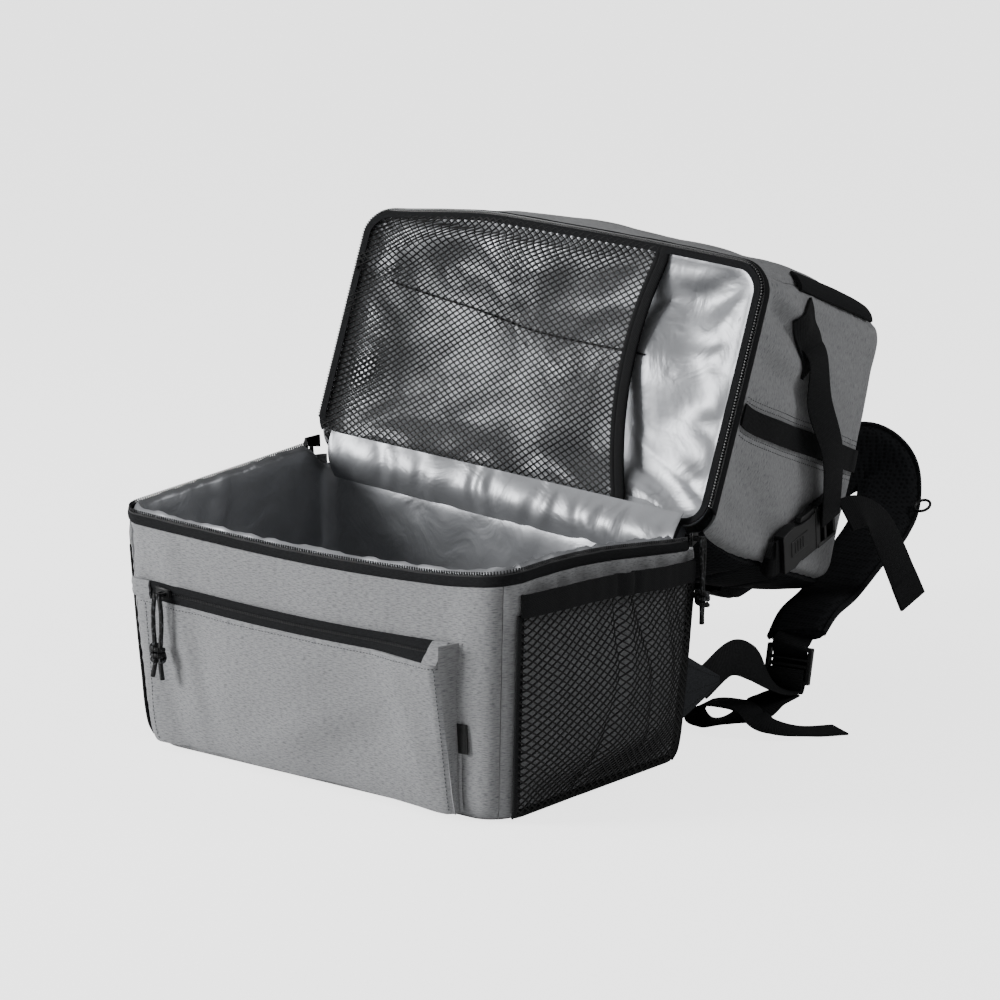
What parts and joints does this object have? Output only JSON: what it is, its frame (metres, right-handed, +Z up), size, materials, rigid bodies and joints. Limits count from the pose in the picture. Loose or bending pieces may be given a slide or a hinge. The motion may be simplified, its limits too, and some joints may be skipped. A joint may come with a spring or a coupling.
{
  "type": "cooler backpack",
  "caption": "Soft two-part cooler backpack standing open, its upper half folded back to show a silver lining, with net side pockets, a zipped front pocket and padded straps.",
  "frame": {"origin": "middle of the lower half's base, on the floor", "axes": "+Z up, -Y out of the front pocket, +Y towards the wearer's back, +X to the right seen from the front"},
  "size_m": [0.4336, 0.5563, 0.3506],
  "materials": {
    "gray_cloth": "heather gray woven polyester",
    "dark_cloth": "dark gray woven polyester",
    "black_webbing": "black ribbed webbing and zip tape",
    "black_net": "black knitted mesh",
    "silver_foil": "metallised film over foam, satin",
    "black_plastic": "moulded, satin"
  },
  "bodies": {
    "root": {"upper_front_panel": "gray_cloth", "upper_side_panel_right": "gray_cloth", "upper_side_panel_left": "gray_cloth", "upper_back_pad": "dark_cloth", "upper_top_panel": "gray_cloth", "lid_lining": "silver_foil", "upper_zip_tape": "black_webbing", "upper_zip_teeth": "black_plastic", "lid_net": "black_net", "lid_net_binding": "black_webbing", "top_zip_right": "black_webbing", "side_band_right": "black_webbing", "top_zip_left": "black_webbing", "side_band_left": "black_webbing", "buckle_right": "black_plastic", "compression_strap_right": "black_webbing", "buckle_webbing_right": "black_webbing", "buckle_left": "black_plastic", "compression_strap_left": "black_webbing", "buckle_webbing_left": "black_webbing", "lower_front_panel": "gray_cloth", "lower_side_panel_right": "gray_cloth", "lower_side_panel_left": "gray_cloth", "lower_back_panel": "dark_cloth", "lower_back_pad": "dark_cloth", "lower_base": "gray_cloth", "cooler_lining": "silver_foil", "lower_zip_tape": "black_webbing", "lower_zip_teeth": "black_plastic", "front_pocket": "gray_cloth", "pocket_side_fold": "gray_cloth", "pocket_zip_tape": "black_webbing", "pocket_zip_end_tab": "gray_cloth", "side_label": "black_webbing", "pocket_zip_slider": "black_plastic", "pocket_pull_cord": "black_webbing", "pocket_pull_knot": "black_webbing", "net_pocket_right": "black_net", "net_binding_right": "black_webbing", "net_pocket_left": "black_net", "net_binding_left": "black_webbing", "hinge_fold": "dark_cloth", "compression_tail_right": "black_webbing", "anchor_tab_right": "dark_cloth", "ladder_lock_right": "black_plastic", "anchor_webbing_right": "black_webbing", "strap_tail_right": "black_webbing", "shoulder_strap_right": "black_webbing", "main_right_zip_slider": "black_plastic", "main_right_pull_cord": "black_webbing", "main_right_pull_knot": "black_webbing", "compression_tail_left": "black_webbing", "anchor_tab_left": "dark_cloth", "ladder_lock_left": "black_plastic", "anchor_webbing_left": "black_webbing", "strap_tail_left": "black_webbing", "shoulder_strap_left": "black_webbing", "main_left_zip_slider": "black_plastic", "main_left_pull_cord": "black_webbing", "main_left_pull_knot": "black_webbing"}
  },
  "joints": []
}
